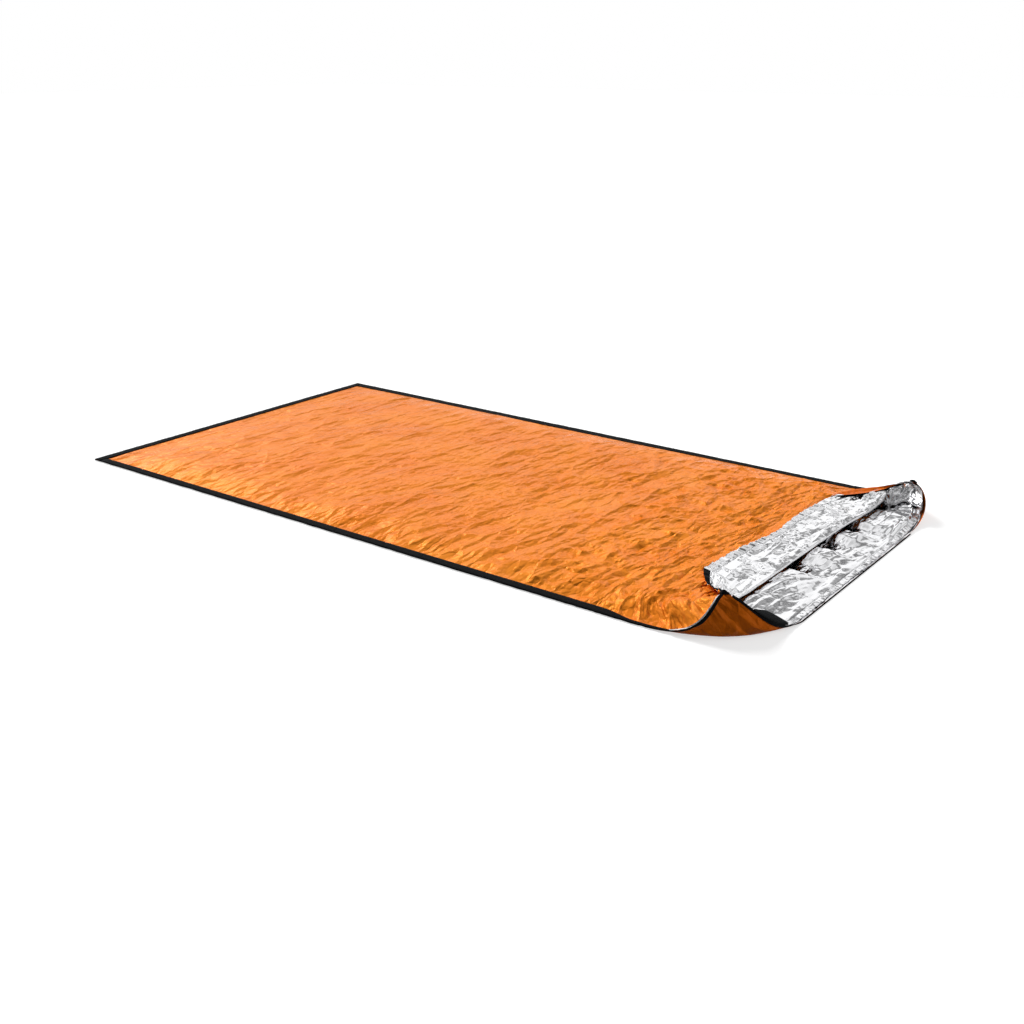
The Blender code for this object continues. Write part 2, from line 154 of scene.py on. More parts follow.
def spline(points, count):
    """A smooth line close to a row of points."""
    p = np.array(points, float)
    p = np.concatenate([[2 * p[0] - p[1]], p, [2 * p[-1] - p[-2]]])
    t = np.linspace(0, len(p) - 3 - 1e-9, count)
    i, f = t.astype(int), (t % 1)[:, None]
    return ((1 - f) ** 3 * p[i] + (3 * f ** 3 - 6 * f ** 2 + 4) * p[i + 1]
            + (-3 * f ** 3 + 3 * f ** 2 + 3 * f + 1) * p[i + 2] + f ** 3 * p[i + 3]) / 6


class Curl:
    """A mouth corner that rolls up and in beyond a curved fold line on the ground."""

    def __init__(self, line, side, roll, out, up, lean, limit):
        self.line = line
        self.ahead = unit(np.gradient(line, axis=0))
        self.side = side
        self.roll = roll
        self.out = out
        self.up = up
        self.lean = np.array(lean, float)
        self.limit = limit

    def nearest(self, q):
        """The number of the line's point that is nearest to each place."""
        step = 10
        coarse = ((q[:, None, :] - self.line[None, ::step]) ** 2).sum(2).argmin(axis=1) * step
        near = np.clip(coarse[:, None] + np.arange(-step, step + 1), 0, len(self.line) - 1)
        away = ((q[:, None, :] - self.line[near]) ** 2).sum(2).argmin(axis=1)
        return near[np.arange(len(q)), away]

    def beyond(self, q):
        """How far each place lies beyond the fold line, and which way is outwards there."""
        k = self.nearest(q)
        t = k / (len(self.line) - 1)
        n = np.stack([self.ahead[k, 1], -self.ahead[k, 0]], 1) * self.side
        w = ((q - self.line[k]) * n).sum(1)
        return np.where((t > 0) & (t < 1), w, -1.0), n

    def rolled(self, q):
        """Places of the flat sheet's points once the corner has rolled up."""
        w, n = self.beyond(q)
        w = np.maximum(w, 0)
        turn = self.limit * np.tanh(w / self.roll / self.limit)
        rise = 1 - np.cos(turn)
        flat = q - w[:, None] * n + n * (self.out * np.sin(turn))[:, None]
        return np.column_stack([flat + self.lean * rise[:, None] / 2, self.up * rise])


def bezier(a, b, c, count=601):
    """A curve from a to c, drawn towards b."""
    t = np.linspace(0, 1, count)[:, None]
    return (1 - t) ** 2 * np.array(a) + 2 * t * (1 - t) * np.array(b) + t * t * np.array(c)


NEAR_CURL = Curl(bezier((0.728, -0.55), (1.0045, -0.558), (1.0565, -0.319)), 1,
                 roll=0.0323, out=0.0218, up=0.0387, lean=(-0.0402, 0.0149), limit=16.0)
FAR_CURL = Curl(bezier((0.66, 0.55), (1.03, 0.588), (1.056, 0.24)), -1,
                roll=0.030, out=0.030, up=0.037, lean=(0.012, 0.012), limit=3.6)
# Beyond this place the top sheet leaves the far seam and draws in to the end of the crease
FAR_SEAM_END_X = 0.81
FAR_SHEET_END = (0.934, 0.432, 0.038)


def lift(u, v):
    """The sheet rises where tape runs under its edge."""
    edge = np.minimum(np.minimum(u - FOOT_X, HEAD_X - u), np.minimum(v + SIDE_Y, SIDE_Y - v))
    return TAPE_LIFT * (1 - smooth(edge, TAPE_WIDTH, 0.03))


def normals_of(points):
    """Normals of a grid of points, which look up where it lies flat."""
    return unit(np.cross(np.gradient(points, axis=0), np.gradient(points, axis=1)))


def bottom_sheet(along, across):
    """The bottom sheet's points and upward normals on a grid of flat places."""
    u, v = np.meshgrid(along, across, indexing="ij")
    q = np.column_stack([u.ravel(), v.ravel()])
    points = np.column_stack([q, np.zeros(len(q))])
    curling = q[:, 0] > CURL_START_X
    for curl, half in ((NEAR_CURL, q[:, 1] < 0), (FAR_CURL, q[:, 1] >= 0)):
        pick = curling & half & (np.abs(q[:, 1]) > 0.2)
        points[pick] = curl.rolled(q[pick])
    points = points.reshape(*u.shape, 3)
    normals = normals_of(points)
    return u, v, points + normals * lift(u, v)[:, :, None], normals


def spaced(*stops):
    """Lines from stop to stop: each stop after the first gives (end, spacing)."""
    lines = [stops[0]]
    for end, step in stops[1:]:
        count = max(1, round(abs(end - lines[-1]) / step))
        lines += list(np.linspace(lines[-1], end, count + 1)[1:])
    return np.array(lines)


# Colours and materials

def colour(code):
    """A linear colour from an sRGB hex code."""
    parts = [int(code[k:k + 2], 16) / 255 for k in (1, 3, 5)]
    return tuple(c / 12.92 if c <= 0.04045 else ((c + 0.055) / 1.055) ** 2.4
                 for c in parts) + (1.0,)


def fill(tree, node, inputs):
    """Give a node's inputs their values, or link them where the value is a socket."""
    for key, value in inputs.items():
        if isinstance(value, bpy.types.NodeSocket):
            tree.links.new(value, node.inputs[key])
        else:
            node.inputs[key].default_value = value


def add(tree, kind, inputs=None, **settings):
    """One node with its settings and its inputs."""
    node = tree.nodes.new(kind)
    for key, value in settings.items():
        setattr(node, key, value)
    fill(tree, node, inputs or {})
    return node


def maths(tree, operation, *values):
    """The result of one sum on values or sockets."""
    node = add(tree, "ShaderNodeMath", dict(enumerate(values)), operation=operation)
    return node.outputs["Value"]


def ranged(tree, value, low, high, to_low=0.0, to_high=1.0):
    """A socket's value, taken from one range to another."""
    return add(tree, "ShaderNodeMapRange", {
        "Value": value, "From Min": low, "From Max": high, "To Min": to_low,
        "To Max": to_high}).outputs["Result"]


def blank_material(name):
    """A new material, with its tree and its shader."""
    m = bpy.data.materials.new(name)
    m.use_nodes = True
    tree = m.node_tree
    return m, tree, tree.nodes["Principled BSDF"]


def crumple_bump(tree, facets, stretch, gain=1.0, bend=0.016):
    """Fine crumples in the sheet's own flat coordinates: facets that meet in sharp folds.

    facets gives their sizes in metres, each with its steepness: above zero they meet in valleys,
    below zero in ridges. stretch is how much longer they are across the bag, and bend is how far
    their edges wander, in metres, with a new turn every 36 mm or so.
    """
    flat = add(tree, "ShaderNodeUVMap", uv_map="flat").outputs["UV"]
    streaks = add(tree, "ShaderNodeMapping", {
        "Vector": flat, "Rotation": (0.0, 0.0, 0.18), "Scale": (1.0, 1.0 / stretch, 1.0)})
    bends = add(tree, "ShaderNodeTexNoise", {"Vector": flat, "Scale": 28.0, "Detail": 2.0})
    bent = add(tree, "ShaderNodeVectorMath", {
        0: bends.outputs["Color"], 1: (bend, bend, bend), 2: streaks.outputs["Vector"]},
        operation="MULTIPLY_ADD")
    height = 0.0
    for size, steepness in facets:
        cells = add(tree, "ShaderNodeTexVoronoi", {
            "Vector": bent.outputs["Vector"], "Scale": 1.0 / size, "Randomness": 1.0},
            feature="DISTANCE_TO_EDGE")
        height = maths(tree, "MULTIPLY_ADD", cells.outputs["Distance"], size * steepness, height)
    bump = add(tree, "ShaderNodeBump", {"Height": height, "Strength": gain, "Distance": 1.0})
    return bump.outputs["Normal"]


def orange_film(name, low, high, shine, rough):
    """Pigmented polyethylene film over an aluminium coat, folded small and opened again: it
    keeps sharp creases, and the coat under the colour gives it a tinted satin shine."""
    m, tree, shader = blank_material(name)
    flat = add(tree, "ShaderNodeUVMap", uv_map="flat").outputs["UV"]
    # The crumples are gentler towards the foot
    place = add(tree, "ShaderNodeSeparateXYZ", {"Vector": flat}).outputs["X"]
    gain = ranged(tree, place, -0.4, 0.7, 0.38, 1.0)
    # Patches of about 0.2 m differ a little in tone and in gloss
    patches = add(tree, "ShaderNodeTexNoise", {"Vector": flat, "Scale": 5.0, "Detail": 3.0})
    body = add(tree, "ShaderNodeMix", {
        "Factor": ranged(tree, patches.outputs["Fac"], 0.35, 0.7), "A": colour(low),
        "B": colour(high)}, data_type="RGBA")
    fill(tree, shader, {
        "Base Color": body.outputs["Result"],
        "Roughness": ranged(tree, patches.outputs["Fac"], 0.3, 0.7, rough, rough + 0.10),
        "Metallic": shine,
        "IOR": 1.51,
        "Specular IOR Level": 0.15,
        # The colour's coat tints what the aluminium mirrors, also at a low angle
        "Specular Tint": colour("#FFBE80"),
        "Normal": crumple_bump(tree, ((0.140, 0.24), (0.058, -0.38), (0.024, 0.28)), 2.5, gain)})
    return m


def silver_film():
    """Polyester film with a coat of aluminium: a soft mirror broken up by creases."""
    m, tree, shader = blank_material("aluminised_polyester_film")
    fill(tree, shader, {
        "Base Color": colour("#F5F5F7"), "Metallic": 1.0, "Roughness": 0.12,
        "Normal": crumple_bump(tree, ((0.150, 0.13), (0.064, -0.20), (0.028, 0.08)), 3.6,
                               bend=0.005)})
    return m


def black_tape():
    """Woven polypropylene binding: dull black, with a fine rib across it."""
    m, tree, shader = blank_material("black_polypropylene_tape")
    flat = add(tree, "ShaderNodeUVMap", uv_map="flat").outputs["UV"]
    # Ribs 4 mm apart, coarser than the real 1 mm so that they show
    rib = add(tree, "ShaderNodeTexWave", {"Vector": flat, "Scale": 80.0, "Distortion": 0.6,
              "Detail": 1.0}, bands_direction="X")
    bump = add(tree, "ShaderNodeBump", {
        "Height": rib.outputs["Fac"], "Strength": 0.6, "Distance": 0.0003})
    fill(tree, shader, {"Base Color": colour("#0C0E10"), "Roughness": 0.8,
                        "Specular IOR Level": 0.10, "Normal": bump.outputs["Normal"]})
    return m


def polyester_thread():
    """Spun polyester thread: charcoal, matt, with a twist along it."""
    m, tree, shader = blank_material("charcoal_polyester_thread")
    place = add(tree, "ShaderNodeTexCoord").outputs["Object"]
    # A twist every 0.6 mm, coarser than the real one so that it shows
    twist = add(tree, "ShaderNodeTexNoise", {"Vector": place, "Scale": 1600.0, "Detail": 1.0})
    tone = add(tree, "ShaderNodeMix", {"Factor": twist.outputs["Fac"], "A": colour("#17191C"),
               "B": colour("#3A3D42")}, data_type="RGBA")
    fill(tree, shader, {"Base Color": tone.outputs["Result"], "Roughness": 0.85})
    return m


ORANGE = orange_film("orange_coated_polyethylene", "#F2841E", "#FC942C", 0.36, 0.17)
# A darker, duller copy of the orange film for the bag's underside: its deeper colour is painted
# shade, so that the rolled walls that face away from the light come out dark brown
SHADED_UNDERSIDE = orange_film("shaded_orange_polyethylene", "#D4620E", "#E0700F", 0.14, 0.34)
SILVER = silver_film()
BLACK = black_tape()
THREAD = polyester_thread()


# Meshes

def in_scene(name, data):
    """A new object in the scene."""
    thing = bpy.data.objects.new(name, data)
    bpy.context.scene.collection.objects.link(thing)
    return thing


def grid_quads(rows, columns, flip=False, start=0):
    """Faces over a grid of points, numbered from start."""
    index = np.arange(rows * columns).reshape(rows, columns) + start
    quads = np.stack([index[:-1, :-1], index[1:, :-1], index[1:, 1:], index[:-1, 1:]], -1)
    quads = quads.reshape(-1, 4)
    return quads[:, ::-1] if flip else quads


def mesh_piece(name, points, quads, flat, finish):
    """An object from points and quads, with its flat coordinates in metres as a UV map."""
    mesh = bpy.data.meshes.new(name)
    mesh.from_pydata([tuple(p) for p in points], [], [tuple(q) for q in quads])
    layer = mesh.uv_layers.new(name="flat")
    corner = np.empty(len(mesh.loops), np.int32)
    mesh.loops.foreach_get("vertex_index", corner)
    layer.data.foreach_set("uv", np.asarray(flat, np.float32)[corner].ravel())
    mesh.shade_smooth()
    mesh.materials.append(finish)
    in_scene(name, mesh)


def film(name, points, flat, finish, flip=False):
    """One open layer of film over a grid of points."""
    quads = grid_quads(*points.shape[:2], flip)
    mesh_piece(name, points.reshape(-1, 3), quads, flat.reshape(-1, 2), finish)


def slab(name, outer, inner, flat, finish):
    """A closed strip between two grids of points, outer facing out."""
    rows, columns = outer.shape[:2]
    count = rows * columns
    points = np.concatenate([outer.reshape(-1, 3), inner.reshape(-1, 3)])
    quads = [grid_quads(rows, columns), grid_quads(rows, columns, True, count)]
    index = np.arange(count).reshape(rows, columns)
    for rim in (index[:, 0][::-1], index[:, -1], index[0, :], index[-1, :][::-1]):
        quads.append(np.stack([rim[:-1], rim[1:], rim[1:] + count, rim[:-1] + count], -1))
    flat = np.concatenate([flat.reshape(-1, 2)] * 2)
    mesh_piece(name, points, np.concatenate(quads), flat, finish)


# Bottom sheet

def wall_wrinkles(u, v, z):
    """Wrinkles of the rolled corners: slack folds that run down from the rim."""
    edge = np.minimum(HEAD_X - u, SIDE_Y - np.abs(v))
    free = smooth(edge, 0.022, 0.03) * smooth(z, 0.002, 0.02)
    lines = (bottom_along, bottom_across)
    folds = creases(*lines, (0.80, HEAD_X), (-SIDE_Y, -0.25),
                    (14, 260, (0.03, 0.10), (0.005, 0.012), (0.0018, 0.0050), 20, 40))
    folds += creases(*lines, (0.84, HEAD_X), (0.25, SIDE_Y),
                     (15, 180, (0.02, 0.08), (0.004, 0.010), (0.0006, 0.0020), 40, 50))
    return folds * free


def floor_wrinkles(u, v):
    """Wrinkles of the lining in the mouth: streaks along the head edge, and crossing folds."""
    edge = np.minimum(HEAD_X - u, SIDE_Y - np.abs(v))
    free = smooth(edge, 0.016, 0.02) * smooth(u, 0.86, 0.04)
    height = creases(bottom_along, bottom_across, (0.86, HEAD_X), (-0.50, 0.50),
                     (11, 130, (0.10, 0.34), (0.004, 0.009), (0.0007, 0.0022), 87, 7),
                     (12, 60, (0.03, 0.10), (0.004, 0.009), (0.0008, 0.0024), 50, 45),
                     (13, 110, (0.02, 0.07), (0.004, 0.007), (0.0005, 0.0012), 80, 40))
    height += 0.0012 * swell(u / 0.08, v / 0.20, 16)
    return (np.maximum(height, -0.0028) + 0.0030) * free


# Places of the dark gaps under the crease, and how far each reaches to its two sides
GAPS = ((-0.076, 0.045, 0.080), (0.082, 0.040, 0.075), (0.218, 0.028, 0.055))


def billow(u, v):
    """The slack lining lies up against the crease, apart from the dark gaps."""
    rise = smooth(u, 0.87, 0.04) * (1 - smooth(u, 0.945, 0.075))
    ridge = rise * smooth(v, -0.44, 0.05) * smooth(v, 0.42, -0.06)
    gaps = np.zeros_like(v)
    for middle, near, far in GAPS:
        away = (v - middle) / np.where(v < middle, near, far)
        gaps = np.maximum(gaps, 1 - smooth(np.abs(away), 0.30, 0.70))
    return 0.0150 * ridge * (1 - gaps) * (0.92 + 0.08 * swell(u / 0.05, v / 0.05, 17))


def far_bulge(u, v):
    """The slack lining bridges the hollow of the far roll, in folds that fan out to the rim."""
    w = FAR_CURL.beyond(np.column_stack([u.ravel(), v.ravel()]))[0].reshape(u.shape)
    bridge = smooth(w, -0.095, 0.10) * (1 - smooth(w, 0.055, 0.045))
    bridge *= smooth(u, HEAD_X, -0.035) * smooth(u, 0.86, 0.05) * smooth(v, 0.20, 0.10)
    fan = np.arctan2(v - 0.40, u - 0.93) / 0.16
    return bridge * (0.020 + 0.0034 * jagged(fan, 18) + 0.0016 * jagged(fan * 2.7, 19))


def drawn_in(sheet, u, v):
    """The lining's head edge lies a little inside the rim at the far corner."""
    inset = 0.010 * smooth(v, 0.30, 0.15)
    places = u - inset * np.clip(1 - (HEAD_X - u) / 0.04, 0, 1)
    return np.stack([read_off(places[:, j], bottom_along, sheet[:, j])
                     for j in range(sheet.shape[1])], 1)


bottom_along = spaced(FOOT_X, (0.50, 0.02), (CURL_START_X, 0.010), (HEAD_X, 0.0036))
bottom_across = spaced(-SIDE_Y, (-SIDE_Y + TAPE_WIDTH, 0.0065), (0.42, 0.0046),
                       (SIDE_Y - TAPE_WIDTH, 0.0030), (SIDE_Y, 0.0065))
bu, bv, bottom, bottom_up = bottom_sheet(bottom_along, bottom_across)
bottom_flat = grid(bottom_along, bottom_across)
walls = bottom + bottom_up * wall_wrinkles(bu, bv, bottom[:, :, 2])[:, :, None]
walls[:, :, 2] = np.maximum(walls[:, :, 2], 0.0)
slack = floor_wrinkles(bu, bv) + billow(bu, bv) + far_bulge(bu, bv)
raised = drawn_in(walls + bottom_up * slack[:, :, None], bu, bv)
# The bottom sheet's outside takes the darker copy of the orange film, which paints shade on its
# rolled walls
film("bottom_film", walls, bottom_flat, SHADED_UNDERSIDE, flip=True)
film("bottom_lining_film", raised + bottom_up * BOTTOM_LINING, bottom_flat, SILVER)


# The crease and the hem of the turned-down end, from the near corner to the far one. Each row
# is the share of the way, then the place of the crease, then the place of the hem.
TURNED_END = np.array([
    (0.00, 0.9355, -0.450, 0.0700, 0.9282, -0.447, 0.0735),
    (0.05, 0.9302, -0.432, 0.0570, 0.9025, -0.424, 0.0640),
    (0.09, 0.9265, -0.408, 0.0450, 0.8713, -0.387, 0.0490),
    (0.13, 0.9220, -0.370, 0.0330, 0.8380, -0.344, 0.0340),
    (0.16, 0.9200, -0.335, 0.0270, 0.8090, -0.304, 0.0300),
    (0.19, 0.9190, -0.300, 0.0240, 0.7860, -0.264, 0.0290),
    (0.33, 0.9190, -0.160, 0.0235, 0.7900, -0.145, 0.0285),
    (0.41, 0.9190, -0.085, 0.0235, 0.7970, -0.070, 0.0285),
    (0.50, 0.9195, 0.005, 0.0235, 0.8110, 0.006, 0.0285),
    (0.56, 0.9200, 0.060, 0.0235, 0.8160, 0.060, 0.0285),
    (0.64, 0.9215, 0.135, 0.0237, 0.8080, 0.138, 0.0285),
    (0.74, 0.9260, 0.220, 0.0245, 0.8067, 0.233, 0.0300),
    (0.84, 0.9350, 0.305, 0.0270, 0.8142, 0.339, 0.0280),
    (0.89, 0.9400, 0.350, 0.0310, 0.8227, 0.396, 0.0264),
    (0.95, 0.9430, 0.390, 0.0360, 0.8506, 0.442, 0.0268),
    (1.00, 0.9380, 0.428, 0.0420, 0.8849, 0.479, 0.0290)])
# The flap lies between these shares, and the ends beyond them stay on the bag
NEAR_CUT, FAR_CUT = 0.13, 0.89


# Top sheet

def top_wrinkles(along, across):
    """Wrinkles of the top sheet: streaks along the foot edge, and deep crumples at the mouth."""
    u, v = np.meshgrid(along, across, indexing="ij")
    edge = np.minimum(u - FOOT_X, SIDE_Y - np.abs(v))
    free = smooth(edge, TAPE_WIDTH * 0.8, 0.03)
    sides = (-SIDE_Y, SIDE_Y)
    height = 0.0026 * swell(u / 0.20, v / 0.36, 21) + 0.0008 * swell(u / 0.07, v / 0.20, 27)
    height += creases(along, across, (FOOT_X, 0.35), sides,
                      (22, 420, (0.08, 0.36), (0.006, 0.014), (0.0006, 0.0018), 84, 12),
                      (23, 300, (0.04, 0.14), (0.006, 0.010), (0.0005, 0.0014), 60, 45))
    height += creases(along, across, (0.10, 1.0), sides,
                      (24, 230, (0.05, 0.16), (0.008, 0.017), (0.0010, 0.0030), 70, 60))
    height += creases(along, across, (0.45, 1.0), sides,
                      (25, 260, (0.04, 0.12), (0.007, 0.014), (0.0018, 0.0052), 60, 60),
                      (26, 900, (0.018, 0.06), (0.0045, 0.008), (0.0009, 0.0024), 60, 80))
    under_flap = smooth(u, 0.865, 0.02) * smooth(v, -0.36, 0.06) * smooth(v, 0.47, -0.05)
    return height * free * (1 - 0.82 * under_flap)


def top_sheet(along, across):
    """The top sheet: its sides follow the seams up the rolled corners, its middle is lofted.

    The second value is the room between the top sheet and the bottom sheet.
    """
    u, v, under, under_up = bottom_sheet(along, across)
    near, far = under[:, :1], under[:, -1:].copy()
    curled = np.clip((u - CURL_START_X) / (HEAD_X - CURL_START_X), 0, 1)
    drawn = np.clip((u[:, :1] - FAR_SEAM_END_X) / (HEAD_X - FAR_SEAM_END_X), 0, 1)
    for k, power in enumerate((1.0, 0.6, 3.0)):
        start = (FAR_SEAM_END_X, SIDE_Y, TAPE_LIFT + TOP_FILM)[k]
        free_edge = mix(start, FAR_SHEET_END[k], drawn ** power)
        far[:, :, k] = np.where(drawn > 0, free_edge, far[:, :, k] + (k == 2) * TOP_FILM)
    near_reach, far_reach = v + SIDE_Y, SIDE_Y - v
    at_near = 1 - smooth(near_reach / mix(0.12, 0.070, smooth(curled)))
    at_far = 1 - smooth(far_reach / 0.125)
    y_reach = mix(0.12, 0.21, smooth(curled))
    y = v + (near[:, :, 1] + SIDE_Y) * (1 - smooth(near_reach / y_reach))
    y = y + (far[:, :, 1] - SIDE_Y) * (1 - smooth(far_reach / 0.26))
    end_x = np.interp(y, TURNED_END[:, 2], TURNED_END[:, 1]) - 0.004
    end_z = np.interp(y, TURNED_END[:, 2], TURNED_END[:, 3]) - 0.001
    x = np.where(curled > 0, mix(CURL_START_X, end_x, curled), u)
    loft = mix(LOFT_MIDDLE, LOFT_MOUTH, smooth(x, LOFT_START_X, SHEET_END_X - LOFT_START_X))
    z = mix(TAPE_LIFT + TOP_FILM, loft, smooth((x - FOOT_X - TAPE_WIDTH) / 0.15))
    z = mix(z, end_z, smooth(curled, 0.45, 0.55))
    x = mix(mix(x, near[:, :, 0], at_near), far[:, :, 0], at_far)
    z = mix(mix(z, near[:, :, 2], at_near), far[:, :, 2], at_far)
    place = under + under_up * TOP_FILM
    bare = smooth(curled * 2)
    by_near = 1 - smooth(near_reach, mix(0.012, 0.001, bare), mix(0.030, 0.012, bare))
    by_far = (1 - smooth(far_reach, 0.012, 0.030)) * (drawn == 0)
    along_seam = np.maximum(by_near, by_far)[:, :, None]
    points = mix(np.stack([x, y, z], -1), place, along_seam)
    room = np.maximum(np.linalg.norm(points - under, axis=2) - TOP_FILM, 0)
    return points, room


def corner_valley(points):
    """A deep fold in the top sheet beside the near corner's seam."""
    line = np.array([(0.822, -0.392), (0.842, -0.424), (0.862, -0.446), (0.888, -0.470),
                     (0.910, -0.486)])
    dense = read_off(np.linspace(0, 4, 60), range(5), line)
    flat = points[:, :, :2]
    away = np.full(flat.shape[:2], 9.0)
    pick = (np.abs(flat[:, :, 0] - 0.865) < 0.09) & (flat[:, :, 1] < -0.34)
    away[pick] = np.sqrt(((flat[pick][:, None] - dense[None]) ** 2).sum(2)).min(1)
    return -0.0085 * np.exp(-away / 0.010)


top_along = spaced(FOOT_X, (0.40, 0.0068), (HEAD_X, 0.0042))
top_across = spaced(-SIDE_Y, (SIDE_Y, 0.0050))
top, room = top_sheet(top_along, top_across)
top_up = normals_of(top)
wrinkles = np.maximum(top_wrinkles(top_along, top_across), -0.8 * room)
top = top + top_up * wrinkles[:, :, None]
top[:, :, 2] += corner_valley(top)
top_flat = grid(top_along, top_across)
film("top_film", top, top_flat, ORANGE)
# The lining hangs lower where there is room for it
hang = (0.0016 + 0.0030 * smooth(room / 0.014))[:, :, None]
film("top_lining_film", (top - top_up * hang)[::2, ::2], top_flat[::2, ::2], SILVER, flip=True)


# Turned-down end of the top sheet: its flat width, and flat places from the sheet's end on

TURNED_WIDTH = 0.98
FLAP_WRAP = math.radians(150) * FOLD_RADIUS
FLAP_RUN = 0.130
HEM_DEPTH = 0.022
HEM_START = FLAP_RUN - HEM_DEPTH


def turned_sheet(depths, shares):
    """The turned-down end, from the sheet's end round the crease and back over the bag."""
    s, d = np.meshgrid(shares, depths, indexing="ij")
    table = read_off(s, TURNED_END[:, 0], TURNED_END[:, 1:])
    crease, hem = table[:, :, :3], table[:, :, 3:]
    forward = crease - hem
    forward[:, :, 2] = 0
    forward = unit(forward)
    angle = math.radians(-60) + np.clip(d, 0, FLAP_WRAP) / FOLD_RADIUS
    up = np.array([0.0, 0.0, 1.0])
    fold = crease + FOLD_RADIUS * (forward * np.cos(angle)[:, :, None]
                                   + up * np.sin(angle)[:, :, None])
    back = np.clip((d - FLAP_WRAP) / (FLAP_RUN - FLAP_WRAP), 0, 1)
    return s, d, mix(fold, hem, back[:, :, None]), back


turned_d = spaced(0.0, (FLAP_WRAP, 0.0012), (HEM_START, 0.0030), (FLAP_RUN, 0.0018))
turned_s = spaced(0.0, (NEAR_CUT, 0.0030), (FAR_CUT, 0.0022), (1.0, 0.0030))
ts, td, turned, back = turned_sheet(turned_d, turned_s)
turned_y = ts * TURNED_WIDTH
lines = (turned_d, turned_s * TURNED_WIDTH)
wave = creases(*lines, (0.0, FLAP_RUN), (0.0, TURNED_WIDTH),
               (33, 120, (0.06, 0.24), (0.004, 0.009), (0.0010, 0.0030), 84, 12),
               (34, 110, (0.03, 0.10), (0.004, 0.009), (0.0012, 0.0032), 50, 40))
wave += creases(*lines, (0.05, FLAP_RUN), (0.0, TURNED_WIDTH),
                (35, 130, (0.02, 0.06), (0.004, 0.008), (0.0006, 0.0016), 10, 30))
wave = wave.T * (1 + 0.9 * smooth(ts, 0.70, 0.08))
wave += 0.0016 * swell(td / 0.05, turned_y / 0.09, 36)
# A second long fold runs through the near half of the band
second_fold = np.exp(-((td - np.interp(ts, (0.33, 0.50), (0.078, 0.094))) / 0.004) ** 2)
wave -= 0.0035 * second_fold * smooth(ts, 0.26, 0.05) * smooth(ts, 0.56, -0.05)
# The hem is puckered, less so where the far strip covers it
pucker = 0.0020 * jagged(turned_y / 0.0045, 31) + 0.0016 * jagged(turned_y / 0.0110, 32)
tucked = smooth(ts, 0.80, 0.05)
pucker = pucker * (1 - 0.8 * tucked)
in_hem = smooth(td, HEM_START, 0.003)
groove = np.exp(-((td - HEM_START) / 0.0028) ** 2)
lower = smooth(ts, 0.15, 0.05) * smooth(ts, 0.92, -0.04)
free = smooth(back / 0.10)
wave *= 1 - 0.75 * tucked * smooth(td, 0.07, 0.03)
wave = np.maximum(wave, mix(-0.004, -0.0018, lower)) * free * (1 - 0.75 * in_hem)
turned[:, :, 2] += wave + 0.0012 * free + pucker * in_hem - 0.0012 * groove
turned_flat = np.stack([td, turned_y], -1)
turned_up = normals_of(turned)


def turned_piece(name, first, last, finish, depth=0.0, rows=slice(None), flip=False):
    """A stretch of the turned-down end between two shares of its width."""
    i, j = np.searchsorted(turned_s, (first - 1e-9, last - 1e-9))
    pick = slice(i, j + 1)
    points = (turned + turned_up * depth)[pick, rows]
    film(name, points, turned_flat[pick, rows], finish, flip)


turned_piece("flap_lining_film", NEAR_CUT, FAR_CUT, SILVER)
turned_piece("near_hem_film", 0.0, NEAR_CUT, SILVER)
turned_piece("far_hem_film", FAR_CUT, 1.0, SILVER)
turned_piece("flap_orange_film", NEAR_CUT, FAR_CUT, ORANGE, -0.0013, slice(12, None), True)
hem_rows, tape_rows = [slice(row_at(turned_d, d), None) for d in (HEM_START + 0.002, 0.060)]
turned_piece("flap_tape_end", NEAR_CUT, 0.193, BLACK, 0.0009, hem_rows)
turned_piece("near_hem_tape", 0.022, 0.112, BLACK, 0.0009, tape_rows)


def far_bundle(tall=30, wide=60):
    """The crumpled end of the top sheet's hem, gathered between the seam and the far corner."""
    upper = np.array([(0.895, 0.423, 0.038), (0.923, 0.447, 0.046), (0.943, 0.463, 0.052),
                      (0.963, 0.477, 0.062), (0.985, 0.479, 0.070), (1.022, 0.453, 0.062)])
    lower = np.array([(0.916, 0.448, 0.027), (0.935, 0.422, 0.022), (0.952, 0.413, 0.020),
                      (0.965, 0.421, 0.022), (0.980, 0.449, 0.028), (1.043, 0.388, 0.042)])
    size = (0.14, 0.055)
    t, r = np.meshgrid(np.linspace(0, 5, wide), np.linspace(0, 1, tall), indexing="ij")
    a, b = [read_off(t, range(6), edge) for edge in (upper, lower)]
    points = mix(a, b, smooth(r / 0.9)[:, :, None])
    lines = (np.linspace(0, size[0], wide), np.linspace(0, size[1], tall))
    rough = creases(*lines, (0, size[0]), (0, size[1]),
                    (71, 70, (0.02, 0.07), (0.0035, 0.007), (0.0020, 0.0050), 60, 40),
                    (72, 90, (0.012, 0.04), (0.0025, 0.005), (0.0012, 0.0036), 0, 40))
    belly = 0.006 * np.sin(np.pi * r)
    points = points + normals_of(mix(a, b, r[:, :, None])) * (rough + belly)[:, :, None]
    # The lower edge rolls under
    turn = math.radians(220) * np.clip((r - 0.82) / 0.18, 0, 1)
    points[:, :, 1] += 0.0035 * (1 - np.cos(turn))
    points[:, :, 2] -= 0.0035 * np.sin(turn)
    film("far_hem_bundle", points, grid(*lines), SILVER)


far_bundle()

